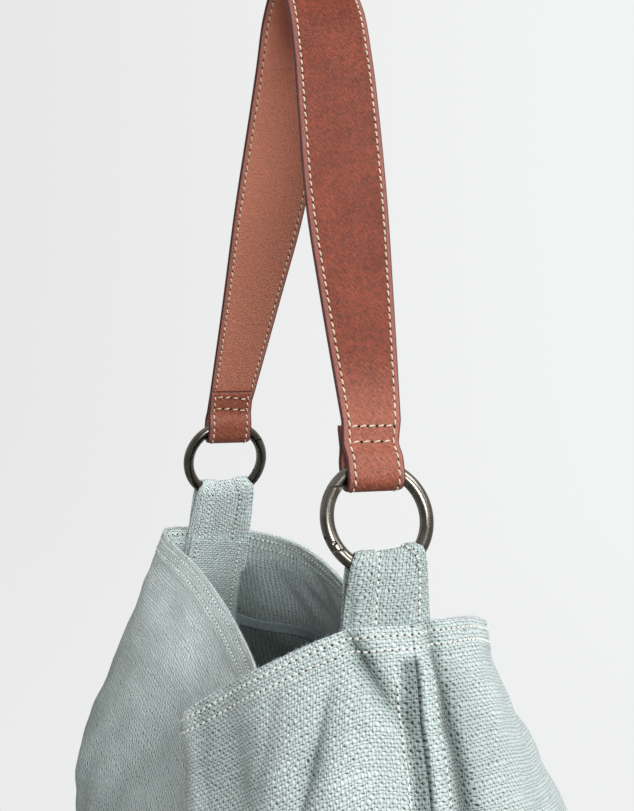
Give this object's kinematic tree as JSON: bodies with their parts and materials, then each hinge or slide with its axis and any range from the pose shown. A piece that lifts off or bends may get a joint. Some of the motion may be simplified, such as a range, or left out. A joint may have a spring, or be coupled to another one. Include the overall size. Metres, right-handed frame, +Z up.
{
  "type": "jute slouch bag",
  "caption": "Slouchy open-topped cloth shoulder bag hung by a sewn leather strap, with spring gate rings through cloth tabs at its side seams.",
  "frame": {"origin": "underside of the strap's crown, where a hook, hand or shoulder carries the hanging bag", "axes": "+Z up, +X from the bag's middle towards the near tab, +Y across the bag"},
  "size_m": [0.3748, 0.2193, 0.6733],
  "materials": {
    "cloth": "coarse plain-woven jute, duck-egg blue, slubby and matt",
    "binding": "dark slate bias tape, matt",
    "leather": "tan leather with a fine grain, dark painted edges and cream stitching",
    "ring_metal": "dark antique plating, polished, worn lighter on the crowns"
  },
  "bodies": {
    "bag": {"panel_front": "cloth", "panel_back": "cloth", "binding_front": "binding", "binding_back": "binding", "facing_near": "cloth", "facing_far": "cloth", "tab_near": "cloth", "tab_far": "cloth", "ring_near": "ring_metal", "ring_far": "ring_metal", "pin_near": "ring_metal", "pin_far": "ring_metal", "strap": "leather"},
    "gate_near": {"gate_near": "ring_metal"},
    "gate_far": {"gate_far": "ring_metal"}
  },
  "joints": [
    {"name": "gate_near_hinge", "type": "hinge", "parent": "bag", "child": "gate_near", "pos_m": [0.12515, -0.0321, -0.2637], "axis": [-0.9511, 0, -0.309], "range_deg": [0, 9], "stiffness_Nm_per_rad": 0.1, "springref_deg": -17.19},
    {"name": "gate_far_hinge", "type": "hinge", "parent": "bag", "child": "gate_far", "pos_m": [-0.14115, 0.0111, -0.2637], "axis": [0.9511, 0, -0.309], "range_deg": [0, 9], "stiffness_Nm_per_rad": 0.1, "springref_deg": -17.19}
  ]
}
